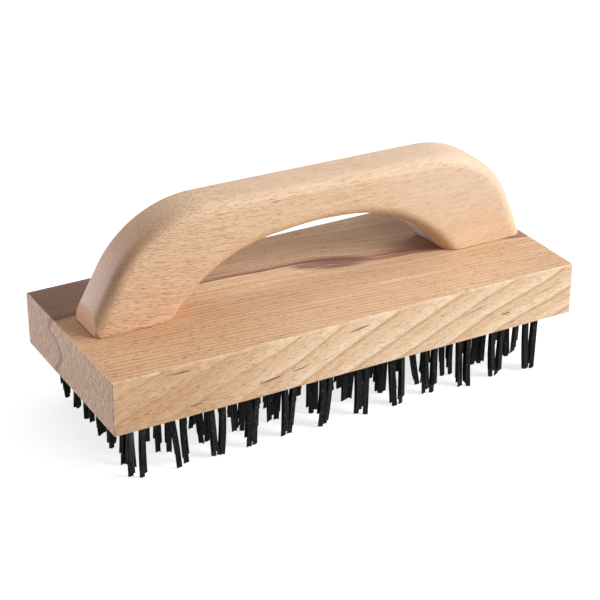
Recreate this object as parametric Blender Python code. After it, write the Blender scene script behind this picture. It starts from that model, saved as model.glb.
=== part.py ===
"""Grill brush: a wooden block, a sawn wooden arch handle and 84 tufts of flat steel wire.

The brush stands on its wire tips. Its frame has +X along the block, +Y to the back, +Z up,
and its origin on the ground under the middle of the block.
"""

import math
import random

import bmesh
import bpy
from mathutils import Vector

# Clearance between pieces that touch on the real brush
SEAT_GAP = 0.0003

# Block
BLOCK_LENGTH = 0.220
BLOCK_WIDTH = 0.090
BLOCK_HEIGHT = 0.024
BLOCK_EDGE = 0.0006          # sanded easing of every edge
BLOCK_EDGE_STEPS = 2

# Wires: how far they stand out of the block, down to the ground
WIRE_REACH = 0.0275
WIRE_WIDTH = 0.0023          # flat wire, two laid face to face in each strand
WIRE_THICKNESS = 0.0011
WIRE_SPREAD_X = 0.0031       # strands from the tuft's centre line where they leave the wood
WIRE_SPREAD_Y = 0.0023
WIRE_GATHER_X = 0.0015       # the same at the tips, where they lean together
WIRE_GATHER_Y = 0.0019
WIRE_LEAN = 0.0005           # every tip leans this far towards the left end
WIRE_BOW = 0.00014           # outward bow at half length
WIRE_SWAY = 0.00014          # uneven place of each tip
WIRE_TWIST = math.radians(60)   # uneven turn of each strand about itself
WIRE_RAGGED = 0.0045         # uneven length of each strand
WIRE_SLANT = 0.0007          # slanting cut across each tip
WIRE_OVERCUT = 0.0005        # the longest strands are cut flat by this much on the ground

# Tufts: a grid of drilled holes that fills the underside
TUFT_PITCH_X = 0.0174
TUFT_PITCH_Y = 0.0122
TUFT_OFFSET_X = -0.0013      # the drilled field sits a little towards the left end
END_MARGIN = 0.0040          # least bare wood beyond the field
SIDE_MARGIN = 0.0020
TUFTS_PER_SLICE = 2
SLICE_THICKNESS = 0.0030     # slice of the block's wood that carries two tufts
WIRE_ROOT = 0.0018           # depth of the strands in that slice

# Handle: outline seen from the front, measured from the top of the block
HANDLE_LENGTH = 0.2082
HANDLE_THICKNESS = 0.0230
HANDLE_OFFSET_X = 0.0032
HANDLE_OFFSET_Y = 0.0025
LEFT_RISE = 0.0481           # the top falls a little towards the right
RIGHT_RISE = 0.0465
LEFT_FACET = 0.0064          # height of the square-cut end at the toe of each foot
RIGHT_FACET = 0.0042
LEFT_LEAN = math.radians(29.1)
RIGHT_LEAN = math.radians(21.3)
LEFT_SHOULDER = 0.0500       # outer corner radii
RIGHT_SHOULDER = 0.0440
OUTER_ROUND = 0.0060         # rounding along the outer edges
INNER_ROUND = 0.0055         # rounding along the edges of the finger gap
FOOT_SPARE = 0.0080          # plank below the feet while it is rounded, sawn off afterwards

# Finger gap under the handle: two slanting legs, two knees and a low peak
GAP_LENGTH = 0.1331
GAP_OFFSET_X = 0.0026
GAP_PEAK_RISE = 0.0281
GAP_PEAK_X = 0.0002          # from the middle of the gap
GAP_PEAK_ROUND = 0.1100
LEFT_KNEE_IN = 0.0187        # from the end of the gap
LEFT_KNEE_RISE = 0.0233
LEFT_KNEE_ROUND = 0.0665
RIGHT_KNEE_IN = 0.0200
RIGHT_KNEE_RISE = 0.0251
RIGHT_KNEE_ROUND = 0.0670
KNEE_ROOM = 0.70             # share of the line from a knee to the peak that the knee may take

# Wood screws, driven from below through the block into the feet
SCREW_BITE = 0.0127          # depth in the foot
SCREW_RADIUS = 0.0021
SCREW_TIP = 0.0060           # length of the tapered point
SCREW_HEAD_RADIUS = 0.0040
SCREW_HEAD_RIM = 0.0006      # straight rim of the head
SCREW_HEAD_CONE = 0.0022
SCREW_SLOT_LENGTH = 0.0046   # cross recess in the head
SCREW_SLOT_WIDTH = 0.0009
SCREW_SLOT_DEPTH = 0.0012
SCREW_HEAD_CLEARANCE = 0.0005   # round the head, in the slice that it goes through

# Facets, and how cuts and corners are made
CORNER_STEPS = 9
ROUND_STEPS = 4
SCREW_SIDES = 20
SHARP_ANGLE = math.radians(35)
CORNER_SHARE = 0.98          # most that a rounded corner takes of the line to its neighbour
CUT_PAST = 0.004             # a cutter runs this far out of the face that it enters by
SAME_PLACE = 1e-6

# Heights that follow from the sizes above
BLOCK_BOTTOM = WIRE_REACH
BLOCK_TOP = BLOCK_BOTTOM + BLOCK_HEIGHT
SLICE_TOP = BLOCK_BOTTOM + SLICE_THICKNESS
HANDLE_BASE = BLOCK_TOP + SEAT_GAP
SCREW_LENGTH = HANDLE_BASE - SLICE_TOP + SCREW_BITE
SCREW_HOLE_RADIUS = SCREW_HEAD_RADIUS + SCREW_HEAD_CLEARANCE

# The field of tufts: as many whole slices and rows as the block's underside holds
SLICE_PITCH_X = TUFTS_PER_SLICE * TUFT_PITCH_X
ROOM_X = BLOCK_LENGTH - 2 * (END_MARGIN + abs(TUFT_OFFSET_X))
ROOM_Y = BLOCK_WIDTH - 2 * SIDE_MARGIN
SLICES_PER_ROW = int(ROOM_X / SLICE_PITCH_X)
TUFT_ROWS = int(ROOM_Y / TUFT_PITCH_Y)
FIELD_LENGTH = SLICES_PER_ROW * SLICE_PITCH_X
FIELD_WIDTH = TUFT_ROWS * TUFT_PITCH_Y


def clear_scene():
    """Remove every object that the file starts with."""
    for item in list(bpy.data.objects):
        bpy.data.objects.remove(item, do_unlink=True)


def finish_material(name, colour, roughness, metallic):
    """A Principled material with one colour (red, green, blue)."""
    material = bpy.data.materials.new(name)
    material.use_nodes = True
    shader = material.node_tree.nodes["Principled BSDF"]
    shader.inputs["Base Color"].default_value = (*colour, 1.0)
    shader.inputs["Roughness"].default_value = roughness
    shader.inputs["Metallic"].default_value = metallic
    return material


def link_mesh(name, mesh_data):
    """Turn a bmesh into a named object with outward faces."""
    bmesh.ops.recalc_face_normals(mesh_data, faces=mesh_data.faces)
    mesh = bpy.data.meshes.new(name)
    mesh_data.to_mesh(mesh)
    mesh_data.free()
    item = bpy.data.objects.new(name, mesh)
    bpy.context.collection.objects.link(item)
    return item


def add_object(name, mesh_data, material):
    """A piece of the brush, with its one material."""
    item = link_mesh(name, mesh_data)
    item.data.materials.append(material)
    return item


def add_cutter(name, mesh_data):
    """A helper solid that only shapes another piece."""
    item = link_mesh(name, mesh_data)
    item.display_type = "WIRE"
    item.hide_render = True
    return item


def combine(item, other, operation):
    """Cut `other` out of `item`, or fuse it on."""
    modifier = item.modifiers.new(f"{operation.lower()} {other.name}", "BOOLEAN")
    modifier.operation = operation
    modifier.solver = "EXACT"
    modifier.object = other


def ease_edges(item, width, segments, limit):
    """Round the edges of an object with a Bevel modifier."""
    modifier = item.modifiers.new("eased edges", "BEVEL")
    modifier.width = width
    modifier.segments = segments
    modifier.limit_method = limit


def box_mesh(low, high):
    """A box between two corners."""
    mesh_data = bmesh.new()
    bmesh.ops.create_cube(mesh_data, size=1.0)
    size = Vector(high) - Vector(low)
    middle = (Vector(high) + Vector(low)) / 2
    for vertex in mesh_data.verts:
        vertex.co = Vector(a * b for a, b in zip(vertex.co, size)) + middle
    return mesh_data


def turned_mesh(profile, sides):
    """A solid turned about +Z from (radius, height) points that run from axis to axis."""
    mesh_data = bmesh.new()
    points = [mesh_data.verts.new((radius, 0.0, height)) for radius, height in profile]
    edges = [mesh_data.edges.new(pair) for pair in zip(points, points[1:])]
    bmesh.ops.spin(
        mesh_data,
        geom=points + edges,
        axis=(0.0, 0.0, 1.0),
        cent=(0.0, 0.0, 0.0),
        angle=2 * math.pi,
        steps=sides,
        use_merge=True,
    )
    bmesh.ops.remove_doubles(mesh_data, verts=mesh_data.verts, dist=SAME_PLACE)
    return mesh_data


def corner_arc(before, corner, after, radius):
    """Points of an arc that rounds `corner` between its neighbours in an outline."""
    to_before = (before - corner).normalized()
    to_after = (after - corner).normalized()
    half = to_before.angle(to_after) / 2
    room = CORNER_SHARE * min((before - corner).length, (after - corner).length)
    tangent = min(radius / math.tan(half), room)
    radius = tangent * math.tan(half)
    centre = corner + (to_before + to_after).normalized() * (radius / math.sin(half))
    start = corner + to_before * tangent - centre
    turn = math.pi - 2 * half
    side = 1.0 if start.x * to_before.y - start.y * to_before.x < 0 else -1.0
    arc = []
    for step in range(CORNER_STEPS + 1):
        angle = side * turn * step / CORNER_STEPS
        x = start.x * math.cos(angle) - start.y * math.sin(angle)
        z = start.x * math.sin(angle) + start.y * math.cos(angle)
        arc.append(centre + Vector((x, z)))
    return arc


def run_on(upper, lower):
    """Where the line from `upper` through `lower` reaches the lower edge of the uncut plank."""
    fall = (lower - upper) / (upper.y - lower.y)
    return lower + fall * (lower.y + FOOT_SPARE)


def handle_toes():
    """Where the two square-cut ends of the handle stand."""
    left_toe = HANDLE_OFFSET_X - HANDLE_LENGTH / 2
    right_toe = HANDLE_OFFSET_X + HANDLE_LENGTH / 2
    return left_toe, right_toe


def handle_outline():
    """The uncut arch seen from the front: outer side left to right, then the finger gap back.

    Returns the points and how many of them belong to the outer side.
    """
    left_toe, right_toe = handle_toes()
    left_corner = left_toe + (LEFT_RISE - LEFT_FACET) * math.tan(LEFT_LEAN)
    right_corner = right_toe - (RIGHT_RISE - RIGHT_FACET) * math.tan(RIGHT_LEAN)
    left_facet_top = Vector((left_toe, LEFT_FACET))
    left_top = Vector((left_corner, LEFT_RISE))
    right_top = Vector((right_corner, RIGHT_RISE))
    right_facet_top = Vector((right_toe, RIGHT_FACET))
    top_middle = (left_top + right_top) / 2
    outer_points = [run_on(left_top, left_facet_top)]
    outer_points += corner_arc(left_facet_top, left_top, top_middle, LEFT_SHOULDER)
    outer_points += corner_arc(top_middle, right_top, right_facet_top, RIGHT_SHOULDER)
    outer_points += [run_on(right_top, right_facet_top)]

    gap_left = Vector((GAP_OFFSET_X - GAP_LENGTH / 2, 0.0))
    gap_right = Vector((GAP_OFFSET_X + GAP_LENGTH / 2, 0.0))
    left_knee = gap_left + Vector((LEFT_KNEE_IN, LEFT_KNEE_RISE))
    right_knee = gap_right + Vector((-RIGHT_KNEE_IN, RIGHT_KNEE_RISE))
    peak = Vector((GAP_OFFSET_X + GAP_PEAK_X, GAP_PEAK_RISE))
    right_slope = right_knee.lerp(peak, KNEE_ROOM)
    left_slope = left_knee.lerp(peak, KNEE_ROOM)
    inner_points = [run_on(right_knee, gap_right)]
    inner_points += corner_arc(gap_right, right_knee, right_slope, RIGHT_KNEE_ROUND)
    inner_points += corner_arc(right_slope, peak, left_slope, GAP_PEAK_ROUND)
    inner_points += corner_arc(left_slope, left_knee, gap_left, LEFT_KNEE_ROUND)
    inner_points += [run_on(left_knee, gap_left)]
    return outer_points + inner_points, len(outer_points)


def slice_centre_x(slice_index):
    """Middle of a slice along the block."""
    return TUFT_OFFSET_X + (slice_index - (SLICES_PER_ROW - 1) / 2) * SLICE_PITCH_X


def row_y(row):
    """Middle of a row of tufts, from front to back."""
    return (row - (TUFT_ROWS - 1) / 2) * TUFT_PITCH_Y


def screw_places():
    """Where the screws stand: under each foot, between the two tufts nearest to its middle."""
    left_toe, right_toe = handle_toes()
    left_foot = (left_toe + GAP_OFFSET_X - GAP_LENGTH / 2) / 2
    right_foot = (right_toe + GAP_OFFSET_X + GAP_LENGTH / 2) / 2
    slices = [slice_centre_x(index) for index in range(SLICES_PER_ROW)]
    rows = [row_y(row) for row in range(TUFT_ROWS)]
    y = min(rows, key=lambda centre: abs(centre - HANDLE_OFFSET_Y))
    places = []
    for foot_middle in (left_foot, right_foot):
        x = min(slices, key=lambda centre: abs(centre - foot_middle))
        places.append(Vector((x, y, 0.0)))
    return places


def screw_profile(grow):
    """Half outline of a screw standing on its head, larger all over by `grow`."""
    head_radius = SCREW_HEAD_RADIUS + grow
    radius = SCREW_RADIUS + grow
    rim_top = SCREW_HEAD_RIM + grow
    cone_top = rim_top + SCREW_HEAD_CONE
    length = SCREW_LENGTH + grow
    return [
        (0.0, 0.0),
        (head_radius, 0.0),
        (head_radius, rim_top),
        (radius, cone_top),
        (radius, length - SCREW_TIP),
        (0.0, length),
    ]


def add_screw(name, place, material):
    """A countersunk wood screw, head down, with a cross recess."""
    screw = add_object(name, turned_mesh(screw_profile(0.0), SCREW_SIDES), material)
    screw.location = (place.x, place.y, SLICE_TOP)
    long_half = SCREW_SLOT_LENGTH / 2
    short_half = SCREW_SLOT_WIDTH / 2
    for axis_name, half_x, half_y in (("x", long_half, short_half), ("y", short_half, long_half)):
        low = (-half_x, -half_y, -SCREW_SLOT_DEPTH)
        high = (half_x, half_y, SCREW_SLOT_DEPTH)
        slot = add_cutter(f"{name}_slot_{axis_name}", box_mesh(low, high))
        slot.location = screw.location
        combine(screw, slot, "DIFFERENCE")
    screw.data.shade_smooth()
    screw.data.set_sharp_from_angle(angle=SHARP_ANGLE)


def add_block(material, screw_bores):
    """The block: eased edges, a recess for the slices of tufts, and two screw holes."""
    low = (-BLOCK_LENGTH / 2, -BLOCK_WIDTH / 2, BLOCK_BOTTOM)
    high = (BLOCK_LENGTH / 2, BLOCK_WIDTH / 2, BLOCK_TOP)
    block = add_object("block", box_mesh(low, high), material)
    ease_edges(block, BLOCK_EDGE, BLOCK_EDGE_STEPS, "ANGLE")
    low = (TUFT_OFFSET_X - FIELD_LENGTH / 2, -FIELD_WIDTH / 2, BLOCK_BOTTOM - CUT_PAST)
    high = (TUFT_OFFSET_X + FIELD_LENGTH / 2, FIELD_WIDTH / 2, SLICE_TOP)
    recess = add_cutter("tuft_recess", box_mesh(low, high))
    combine(block, recess, "DIFFERENCE")
    for bore in screw_bores:
        combine(block, bore, "DIFFERENCE")


def add_handle(material, screw_bores):
    """The arch: its outline sawn from a plank, both sides rounded, then toes and feet cut flat."""
    points, outer_count = handle_outline()
    front = HANDLE_OFFSET_Y - HANDLE_THICKNESS / 2
    mesh_data = bmesh.new()
    ring = [mesh_data.verts.new((point.x, front, HANDLE_BASE + point.y)) for point in points]
    face = mesh_data.faces.new(ring)
    extruded = bmesh.ops.extrude_face_region(mesh_data, geom=[face])
    back = [item for item in extruded["geom"] if isinstance(item, bmesh.types.BMVert)]
    bmesh.ops.translate(mesh_data, vec=(0.0, HANDLE_THICKNESS, 0.0), verts=back)
    mesh_data.verts.index_update()
    rounding = mesh_data.edges.layers.float.new("bevel_weight_edge")
    outer_points = {(round(point.x, 6), round(point.y, 6)) for point in points[:outer_count]}
    for edge in mesh_data.edges:
        ends = [(round(v.co.x, 6), round(v.co.z - HANDLE_BASE, 6)) for v in edge.verts]
        along_outline = abs(edge.verts[0].co.y - edge.verts[1].co.y) < SAME_PLACE
        under_foot = max(end[1] for end in ends) < SAME_PLACE - FOOT_SPARE
        if along_outline and not under_foot:
            on_outer = all(end in outer_points for end in ends)
            edge[rounding] = 1.0 if on_outer else INNER_ROUND / OUTER_ROUND
    handle = add_object("handle", mesh_data, material)
    ease_edges(handle, OUTER_ROUND, ROUND_STEPS, "WEIGHT")
    left_toe, right_toe = handle_toes()
    highest = max(LEFT_RISE, RIGHT_RISE)
    low = (left_toe, front - CUT_PAST, HANDLE_BASE)
    high = (right_toe, front + HANDLE_THICKNESS + CUT_PAST, HANDLE_BASE + highest + CUT_PAST)
    combine(handle, add_cutter("handle_saw_lines", box_mesh(low, high)), "INTERSECT")
    for bore in screw_bores:
        combine(handle, bore, "DIFFERENCE")
    handle.data.shade_smooth()
    handle.data.set_sharp_from_angle(angle=SHARP_ANGLE)


def add_strand(mesh_data, root, middle, tip, yaw, tip_slant):
    """One flat strand from its root in the wood, through a slight bend, to its cut tip.

    The section keeps its direction, so every side is flat. Each corner runs on down to its
    own height on the slanting cut, and no lower than the ground.
    """
    across = Vector((math.cos(yaw), math.sin(yaw), 0.0)) * WIRE_WIDTH / 2
    through = Vector((-math.sin(yaw), math.cos(yaw), 0.0)) * WIRE_THICKNESS / 2
    corners = ((-1, -1), (1, -1), (1, 1), (-1, 1))
    fall = (tip - middle) / (middle.z - tip.z)
    rings = [[], [], []]
    for side, face in corners:
        offset = across * side + through * face
        bend = middle + offset
        end_height = max(0.0, tip.z + side * tip_slant)
        rings[0].append(mesh_data.verts.new(root + offset))
        rings[1].append(mesh_data.verts.new(bend))
        rings[2].append(mesh_data.verts.new(bend + fall * (middle.z - end_height)))
    mesh_data.faces.new(rings[0])
    mesh_data.faces.new(list(reversed(rings[2])))
    for upper, lower in zip(rings, rings[1:]):
        for index in range(len(corners)):
            following = (index + 1) % len(corners)
            corner_loop = (upper[index], lower[index], lower[following], upper[following])
            mesh_data.faces.new(corner_loop)


def add_tuft(mesh_data, centre_x, centre_y, chance):
    """Four strands round the middle of a hole, bowed out and leaning together at the tips."""
    root_height = BLOCK_BOTTOM + WIRE_ROOT
    for side_x in (-1, 1):
        for side_y in (-1, 1):
            sway_x = chance.uniform(-WIRE_SWAY, WIRE_SWAY)
            sway_y = chance.uniform(-WIRE_SWAY, WIRE_SWAY)
            shortfall = WIRE_RAGGED * chance.random() - WIRE_OVERCUT
            yaw = chance.uniform(-WIRE_TWIST, WIRE_TWIST)
            slant = chance.uniform(-WIRE_SLANT, WIRE_SLANT)
            root = Vector((centre_x + side_x * WIRE_SPREAD_X, centre_y + side_y * WIRE_SPREAD_Y,
                           root_height))
            tip = Vector((centre_x + side_x * WIRE_GATHER_X - WIRE_LEAN + sway_x,
                          centre_y + side_y * WIRE_GATHER_Y + sway_y,
                          shortfall))
            middle = root.lerp(tip, 0.5) + Vector((side_x * WIRE_BOW, side_y * WIRE_BOW, 0.0))
            add_strand(mesh_data, root, middle, tip, yaw, slant)


def add_tuft_slice(name, slice_index, row, material, head_bores):
    """A slice of the block's wood with its tufts, fused into one piece."""
    centre_x = slice_centre_x(slice_index)
    centre_y = row_y(row)
    half_x = (SLICE_PITCH_X - SEAT_GAP) / 2
    half_y = (TUFT_PITCH_Y - SEAT_GAP) / 2
    low = (centre_x - half_x, centre_y - half_y, BLOCK_BOTTOM)
    high = (centre_x + half_x, centre_y + half_y, SLICE_TOP - SEAT_GAP)
    piece = add_object(name, box_mesh(low, high), material)
    chance = random.Random(slice_index + SLICES_PER_ROW * row)
    strands = bmesh.new()
    for tuft in range(TUFTS_PER_SLICE):
        tuft_x = centre_x + (tuft - (TUFTS_PER_SLICE - 1) / 2) * TUFT_PITCH_X
        add_tuft(strands, tuft_x, centre_y, chance)
    combine(piece, add_cutter(f"{name}_strands", strands), "UNION")
    for bore in head_bores:
        if abs(bore.location.x - centre_x) < half_x and abs(bore.location.y - centre_y) < half_y:
            combine(piece, bore, "DIFFERENCE")


def add_bores():
    """Cutters for the screws: the hole in the slice for the head, and the close-fitting hole."""
    head_bores = []
    screw_bores = []
    bottom = -SLICE_THICKNESS - CUT_PAST
    profile = [
        (0.0, bottom),
        (SCREW_HOLE_RADIUS, bottom),
        (SCREW_HOLE_RADIUS, CUT_PAST),
        (0.0, CUT_PAST),
    ]
    for number, place in enumerate(screw_places(), start=1):
        head_bore = add_cutter(f"head_bore_{number}", turned_mesh(profile, SCREW_SIDES))
        head_bore.location = (place.x, place.y, SLICE_TOP)
        head_bores.append(head_bore)
        screw_bore = add_cutter(f"screw_bore_{number}",
                                turned_mesh(screw_profile(SEAT_GAP), SCREW_SIDES))
        screw_bore.location = (place.x, place.y, SLICE_TOP - SEAT_GAP)
        screw_bores.append(screw_bore)
    return head_bores, screw_bores


def build():
    """Put the brush together."""
    clear_scene()
    block_wood = finish_material("block_wood", (0.58, 0.37, 0.22), 0.62, 0.0)
    handle_wood = finish_material("handle_wood", (0.76, 0.53, 0.34), 0.55, 0.0)
    wire_steel = finish_material("wire_steel", (0.018, 0.018, 0.020), 0.42, 0.85)
    screw_steel = finish_material("screw_steel", (0.55, 0.54, 0.50), 0.35, 1.0)
    head_bores, screw_bores = add_bores()
    add_block(block_wood, screw_bores)
    add_handle(handle_wood, screw_bores)
    for side, place in zip(("left", "right"), screw_places()):
        add_screw(f"screw_{side}", place, screw_steel)
    for row in range(TUFT_ROWS):
        for slice_index in range(SLICES_PER_ROW):
            name = f"wire_tufts_row{row + 1}_pair{slice_index + 1}"
            add_tuft_slice(name, slice_index, row, wire_steel, head_bores)


build()
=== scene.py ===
"""A grill brush dressed for its picture: hardwood block, beech arch, tufts of flat black wire."""
import math

import bmesh
import bpy
import numpy as np
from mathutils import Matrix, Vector


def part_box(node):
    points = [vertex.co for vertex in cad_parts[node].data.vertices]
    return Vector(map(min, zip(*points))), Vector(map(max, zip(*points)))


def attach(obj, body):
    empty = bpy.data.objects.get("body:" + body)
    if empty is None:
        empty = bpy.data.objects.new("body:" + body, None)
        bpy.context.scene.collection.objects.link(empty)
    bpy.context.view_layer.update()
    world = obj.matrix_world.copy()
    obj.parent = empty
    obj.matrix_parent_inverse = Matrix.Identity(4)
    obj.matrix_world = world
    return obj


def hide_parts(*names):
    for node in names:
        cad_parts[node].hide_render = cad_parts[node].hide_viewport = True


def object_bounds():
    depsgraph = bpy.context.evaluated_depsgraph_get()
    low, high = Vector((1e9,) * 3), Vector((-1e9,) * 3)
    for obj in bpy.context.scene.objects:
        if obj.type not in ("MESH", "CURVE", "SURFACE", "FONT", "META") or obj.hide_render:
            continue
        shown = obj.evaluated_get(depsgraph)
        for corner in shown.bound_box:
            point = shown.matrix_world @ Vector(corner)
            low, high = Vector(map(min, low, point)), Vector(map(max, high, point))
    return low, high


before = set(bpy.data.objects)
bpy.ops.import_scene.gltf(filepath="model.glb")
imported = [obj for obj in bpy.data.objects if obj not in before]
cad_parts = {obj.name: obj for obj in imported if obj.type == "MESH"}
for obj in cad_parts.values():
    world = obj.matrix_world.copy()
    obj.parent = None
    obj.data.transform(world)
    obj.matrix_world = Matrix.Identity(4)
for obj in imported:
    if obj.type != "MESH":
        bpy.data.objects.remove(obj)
cad_low, cad_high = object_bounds()

# The view and the light: a long lens from the brush's left front, a soft key light from the
# right front, another high up at the back, a low one at the left back, and a white table.
VIEW_AZIMUTH = math.radians(-29.12)
VIEW_ELEVATION = math.radians(26.91)
VIEW_DISTANCE = 0.77985
VIEW_TARGET = Vector((-0.00198, 0.0, 0.04124))
LENS_MM = 108
SENSOR_MM = 36
KEY_TOWARDS = Vector((0.67, -0.57, 0.47))
KEY_DISTANCE = 2.5
KEY_SIZE = 1.3
KEY_LEVEL = 1.17
TOP_TOWARDS = Vector((0.05, 0.31, 0.95))
TOP_DISTANCE = 1.6
TOP_SIZE = 1.2
TOP_LEVEL = 0.29
FILL_TOWARDS = Vector((-0.66, 0.75, 0.08))
FILL_DISTANCE = 1.6
FILL_SIZE = 0.9
FILL_LEVEL = 0.66
FILL_COLOUR = (0.92, 0.90, 1.0)
WHITE = (1.0, 1.0, 1.0)

scene = bpy.context.scene
scene.view_settings.view_transform = "Standard"

back = Vector(
    (
        math.sin(VIEW_AZIMUTH) * math.cos(VIEW_ELEVATION),
        -math.cos(VIEW_AZIMUTH) * math.cos(VIEW_ELEVATION),
        math.sin(VIEW_ELEVATION),
    )
)
camera = bpy.data.objects.new("camera", bpy.data.cameras.new("camera"))
camera.data.lens = LENS_MM
camera.data.sensor_width = SENSOR_MM
camera.location = VIEW_TARGET + back * VIEW_DISTANCE
camera.rotation_euler = back.to_track_quat("Z", "Y").to_euler()
scene.collection.objects.link(camera)
scene.camera = camera


def soft_light(name, towards, distance, size, level, colour):
    """A square lamp that gives a surface facing it `level` times that surface's own colour."""
    lamp = bpy.data.lights.new(name, "AREA")
    lamp.shape = "SQUARE"
    lamp.size = size
    lamp.energy = level * (math.pi * distance) ** 2
    lamp.color = colour
    light = bpy.data.objects.new(name, lamp)
    towards = towards.normalized()
    light.location = VIEW_TARGET + towards * distance
    light.rotation_euler = towards.to_track_quat("Z", "Y").to_euler()
    scene.collection.objects.link(light)


soft_light("key_light", KEY_TOWARDS, KEY_DISTANCE, KEY_SIZE, KEY_LEVEL, WHITE)
soft_light("top_light", TOP_TOWARDS, TOP_DISTANCE, TOP_SIZE, TOP_LEVEL, WHITE)
soft_light("fill_light", FILL_TOWARDS, FILL_DISTANCE, FILL_SIZE, FILL_LEVEL, FILL_COLOUR)


# The floor and the room: a plain white table that keeps the brush's shadow, and plain white
# behind it. Both glow for the camera, and the room lights everything else dimly.
TABLE_COLOUR = (0.58, 0.58, 0.58)
TABLE_GLOW = (0.76, 0.76, 0.76)
TABLE_ROUGHNESS = 0.9
ROOM_COLOUR = (0.075, 0.078, 0.084)
FLOOR_SIZE = 6.0


class Value:
    """A number, place or colour inside a material. Arithmetic on numbers adds Math nodes."""

    def __init__(self, tree, socket=None):
        self.tree = tree
        self.socket = socket

    def node(self, kind, settings, sockets, output=0):
        """Adds a node: its settings first, then the numbers or links of its sockets."""
        made = self.tree.nodes.new(kind)
        for name, setting in settings.items():
            if name == "curve":
                points = made.mapping.curves[0].points
                while len(points) < len(setting):
                    points.new(0.5, 0.5)
                for point, place in zip(points, setting):
                    point.location = place
                made.mapping.update()
            else:
                setattr(made, name, setting)
        for name, given in sockets.items():
            if isinstance(given, Value):
                self.tree.links.new(given.socket, made.inputs[name])
            elif isinstance(given, tuple) and made.inputs[name].type == "RGBA":
                made.inputs[name].default_value = (*given, 1.0)
            else:
                made.inputs[name].default_value = given
        return Value(self.tree, made.outputs[output])

    def math(self, operation, *numbers):
        return self.node("ShaderNodeMath", {"operation": operation}, dict(enumerate((self, *numbers))))

    def __add__(self, other):
        return self.math("ADD", other)

    __radd__ = __add__

    def __sub__(self, other):
        return self.math("SUBTRACT", other)

    def __rsub__(self, other):
        return self.math("MULTIPLY", -1.0) + other

    def __mul__(self, other):
        return self.math("MULTIPLY", other)

    __rmul__ = __mul__

    def __truediv__(self, other):
        return self.math("DIVIDE", other)

    def __pow__(self, power):
        return self.math("POWER", power)

    def step(self, low, high):
        """0 below `low`, 1 above `high` and a smooth rise between them."""
        limits = {"Value": self, "From Min": low, "From Max": high}
        return self.node("ShaderNodeMapRange", {"interpolation_type": "SMOOTHSTEP"}, limits)

    def near(self, middle, reach):
        """1 at `middle`, falling smoothly to 0 at `reach` on both sides."""
        return 1 - (self - middle).math("ABSOLUTE").step(0.0, reach)

    def mix(self, first, second):
        """The first colour where this number is 0, the second where it is 1."""
        return self.node("ShaderNodeMix", {"data_type": "RGBA"}, {0: self, 6: first, 7: second}, 2)

    def place(self, x, y, z):
        """The three numbers as one place."""
        return self.node("ShaderNodeCombineXYZ", {}, {0: x, 1: y, 2: z})

    def noise(self, x, y, z, detail=1.0):
        """Cloudy noise from 0 to 1 with one lump to each unit of the place."""
        place = self.place(x, y, z)
        sockets = {"Vector": place, "Scale": 1.0, "Detail": detail, "Roughness": 0.55}
        return self.node("ShaderNodeTexNoise", {}, sockets)

    def dashes(self, x, y, z, share, size):
        """1 inside small grains, one to each unit of the place, of which only a share is kept.

        Each layer of grains is set off from the next, so that no columns show.
        """
        place = self.place(x + z * 0.62 + y * 0.38, y, z)
        cells = self.node("ShaderNodeTexVoronoi", {}, {"Vector": place, "Scale": 1.0})
        colour = Value(self.tree, cells.socket.node.outputs["Color"])
        keep = self.node("ShaderNodeSeparateColor", {}, {0: colour}, 0)
        growth = self.node("ShaderNodeSeparateColor", {}, {0: colour}, 1)
        reach = (growth * 0.5 + 0.5) * size
        return (1 - (cells / reach).step(0.6, 1.0)) * (1 - (keep - share).step(0.0, 0.02))


def new_finish(name):
    """An empty material: the material, its shader node and the object's x, y and z in millimetres."""
    material = bpy.data.materials.new(name)
    material.use_nodes = True
    tree = material.node_tree
    shader = tree.nodes["Principled BSDF"]
    start = Value(tree)
    where = start.node("ShaderNodeTexCoord", {}, {}, "Object")
    in_mm = start.node("ShaderNodeVectorMath", {"operation": "SCALE"}, {0: where, "Scale": 1000.0})
    parts = [start.node("ShaderNodeSeparateXYZ", {}, {0: in_mm}, axis) for axis in range(3)]
    return material, shader, parts


def seen_directly(start):
    """1 for rays from the camera and for those that metal or glass passes on."""
    camera_ray = start.node("ShaderNodeLightPath", {}, {}, "Is Camera Ray")
    glossy_ray = start.node("ShaderNodeLightPath", {}, {}, "Is Glossy Ray")
    passed_ray = start.node("ShaderNodeLightPath", {}, {}, "Is Transmission Ray")
    return (camera_ray + glossy_ray + passed_ray).math("MINIMUM", 1.0)


floor_mesh = bpy.data.meshes.new("floor")
half = FLOOR_SIZE / 2
floor_corners = [(-half, -half, 0), (half, -half, 0), (half, half, 0), (-half, half, 0)]
floor_mesh.from_pydata(floor_corners, [], [(0, 1, 2, 3)])
floor = bpy.data.objects.new("floor", floor_mesh)
scene.collection.objects.link(floor)
floor_paint, floor_shader, floor_place = new_finish("floor paint")
floor_shader.inputs["Base Color"].default_value = (*TABLE_COLOUR, 1.0)
floor_shader.inputs["Roughness"].default_value = TABLE_ROUGHNESS
floor_mesh.materials.append(floor_paint)
direct = seen_directly(floor_place[0])
floor_glow = direct.mix((0.0, 0.0, 0.0), TABLE_GLOW)
floor_paint.node_tree.links.new(floor_glow.socket, floor_shader.inputs["Emission Color"])
floor_shader.inputs["Emission Strength"].default_value = 1.0

world = bpy.data.worlds.new("room")
scene.world = world
world.use_nodes = True
room = seen_directly(Value(world.node_tree))
room_colour = room.mix(ROOM_COLOUR, WHITE)
world.node_tree.links.new(room_colour.socket, world.node_tree.nodes["Background"].inputs["Color"])


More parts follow.
